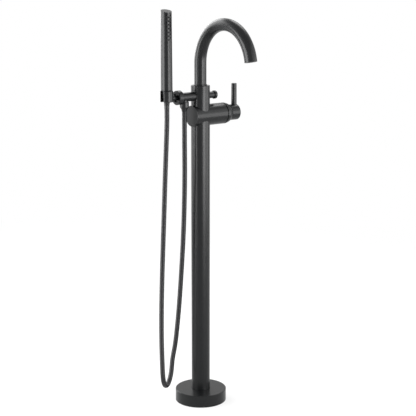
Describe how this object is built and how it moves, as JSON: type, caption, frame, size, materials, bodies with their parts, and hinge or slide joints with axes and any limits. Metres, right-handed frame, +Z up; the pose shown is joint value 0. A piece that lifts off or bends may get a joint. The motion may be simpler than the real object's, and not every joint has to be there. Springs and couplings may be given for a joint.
{
  "type": "free-standing bath filler with hand shower",
  "caption": "Floor-mounted free-standing tub filler: horizontal single-lever mixer on a riser, swivel gooseneck spout, pull diverter and a stick hand shower in a cradle on a ribbed hose",
  "frame": {"origin": "on the floor, at the riser's axis", "axes": "+Z up; -Y the way the spout reaches over the tub; +X the lever's side; -X the hand shower's side"},
  "size_m": [0.2757, 0.2944, 1.085],
  "materials": {
    "matte_black": "matte black powder-coated brass, fine satin",
    "black_tube": "matte black powder-coated tube",
    "stainless": "bare stainless steel",
    "bare_brass": "bare machined brass",
    "rubber": "black rubber",
    "white_plastic": "moulded acetal",
    "ceramic": "polished ceramic, held as gloss_plastic because the list has no ceramic",
    "hose_skin": "satin black ribbed sleeve"
  },
  "bodies": {
    "stand": {"floor_pad": "rubber", "base_plate": "stainless", "base_set_screws": "stainless", "floor_flange": "matte_black", "flange_seal": "rubber", "riser_tube": "black_tube", "cold_supply_tube": "stainless", "hot_supply_tube": "stainless", "cold_connector": "bare_brass", "hot_connector": "bare_brass", "inlet_nuts": "bare_brass", "inlet_seals": "rubber", "valve_body": "matte_black", "end_cap": "matte_black", "end_cap_seal": "rubber", "cartridge_housing": "white_plastic", "port_seals": "rubber", "fixed_disc": "ceramic", "cartridge_nut": "bare_brass", "dome_cover": "matte_black", "collar_nut": "matte_black", "spout_washer": "white_plastic", "stop_screw": "stainless", "diverter_bonnet": "matte_black", "diverter_spring": "stainless", "holder_arm": "matte_black", "outlet_nipple": "matte_black", "outlet_check_valve": "white_plastic", "outlet_washer": "rubber", "outlet_nut": "matte_black", "knuckle": "matte_black", "cradle": "matte_black", "cradle_liner": "rubber", "knuckle_ring": "matte_black", "hose": "hose_skin"},
    "mixer": {"stem_carrier": "white_plastic", "turning_disc": "ceramic", "stem_pin": "stainless"},
    "lever": {"lever_stem": "stainless", "handle_hub": "matte_black", "lever_rod": "matte_black", "hub_set_screw": "stainless"},
    "spout": {"spout_tail": "bare_brass", "tail_seals": "rubber", "spout_tube": "black_tube", "foot_ring": "matte_black", "aerator_shell": "matte_black", "aerator_insert": "white_plastic"},
    "pull_knob": {"diverter_spindle": "bare_brass", "diverter_seal": "rubber", "diverter_knob": "matte_black"},
    "hose_end": {"wand_nut": "matte_black", "wand_washer": "rubber"},
    "hand_shower": {"wand_body": "matte_black", "wand_core": "white_plastic", "spray_face": "matte_black", "spray_nozzles": "rubber", "wand_cap": "matte_black"}
  },
  "joints": [
    {"name": "spout_swivel", "type": "hinge", "parent": "stand", "child": "spout", "pos_m": [0, 0, 0.95], "axis": [0, 0, 1], "range_deg": [-60, 60]},
    {"name": "temperature", "type": "hinge", "parent": "stand", "child": "mixer", "pos_m": [0.08, 0, 0.8027], "axis": [1, 0, 0], "range_deg": [-45, 45]},
    {"name": "flow", "type": "hinge", "parent": "mixer", "child": "lever", "pos_m": [0.076, 0, 0.8027], "axis": [0, 1, 0], "range_deg": [0, 18]},
    {"name": "diverter_pull", "type": "slide", "parent": "stand", "child": "pull_knob", "axis": [1, 0, 0], "range_m": [0, 0.008], "stiffness_N_per_m": 150, "springref_m": -0.004, "deforming": ["diverter_spring"]},
    {"name": "hand_shower_lift", "type": "slide", "parent": "stand", "child": "hose_end", "axis": [0, 0, 1], "range_m": [0, 0.06], "deforming": ["hose"]},
    {"name": "hand_shower_turn", "type": "hinge", "parent": "hose_end", "child": "hand_shower", "pos_m": [-0.1105, 0, 0.95], "axis": [0, 0, 1], "range_deg": [-180, 180]}
  ]
}
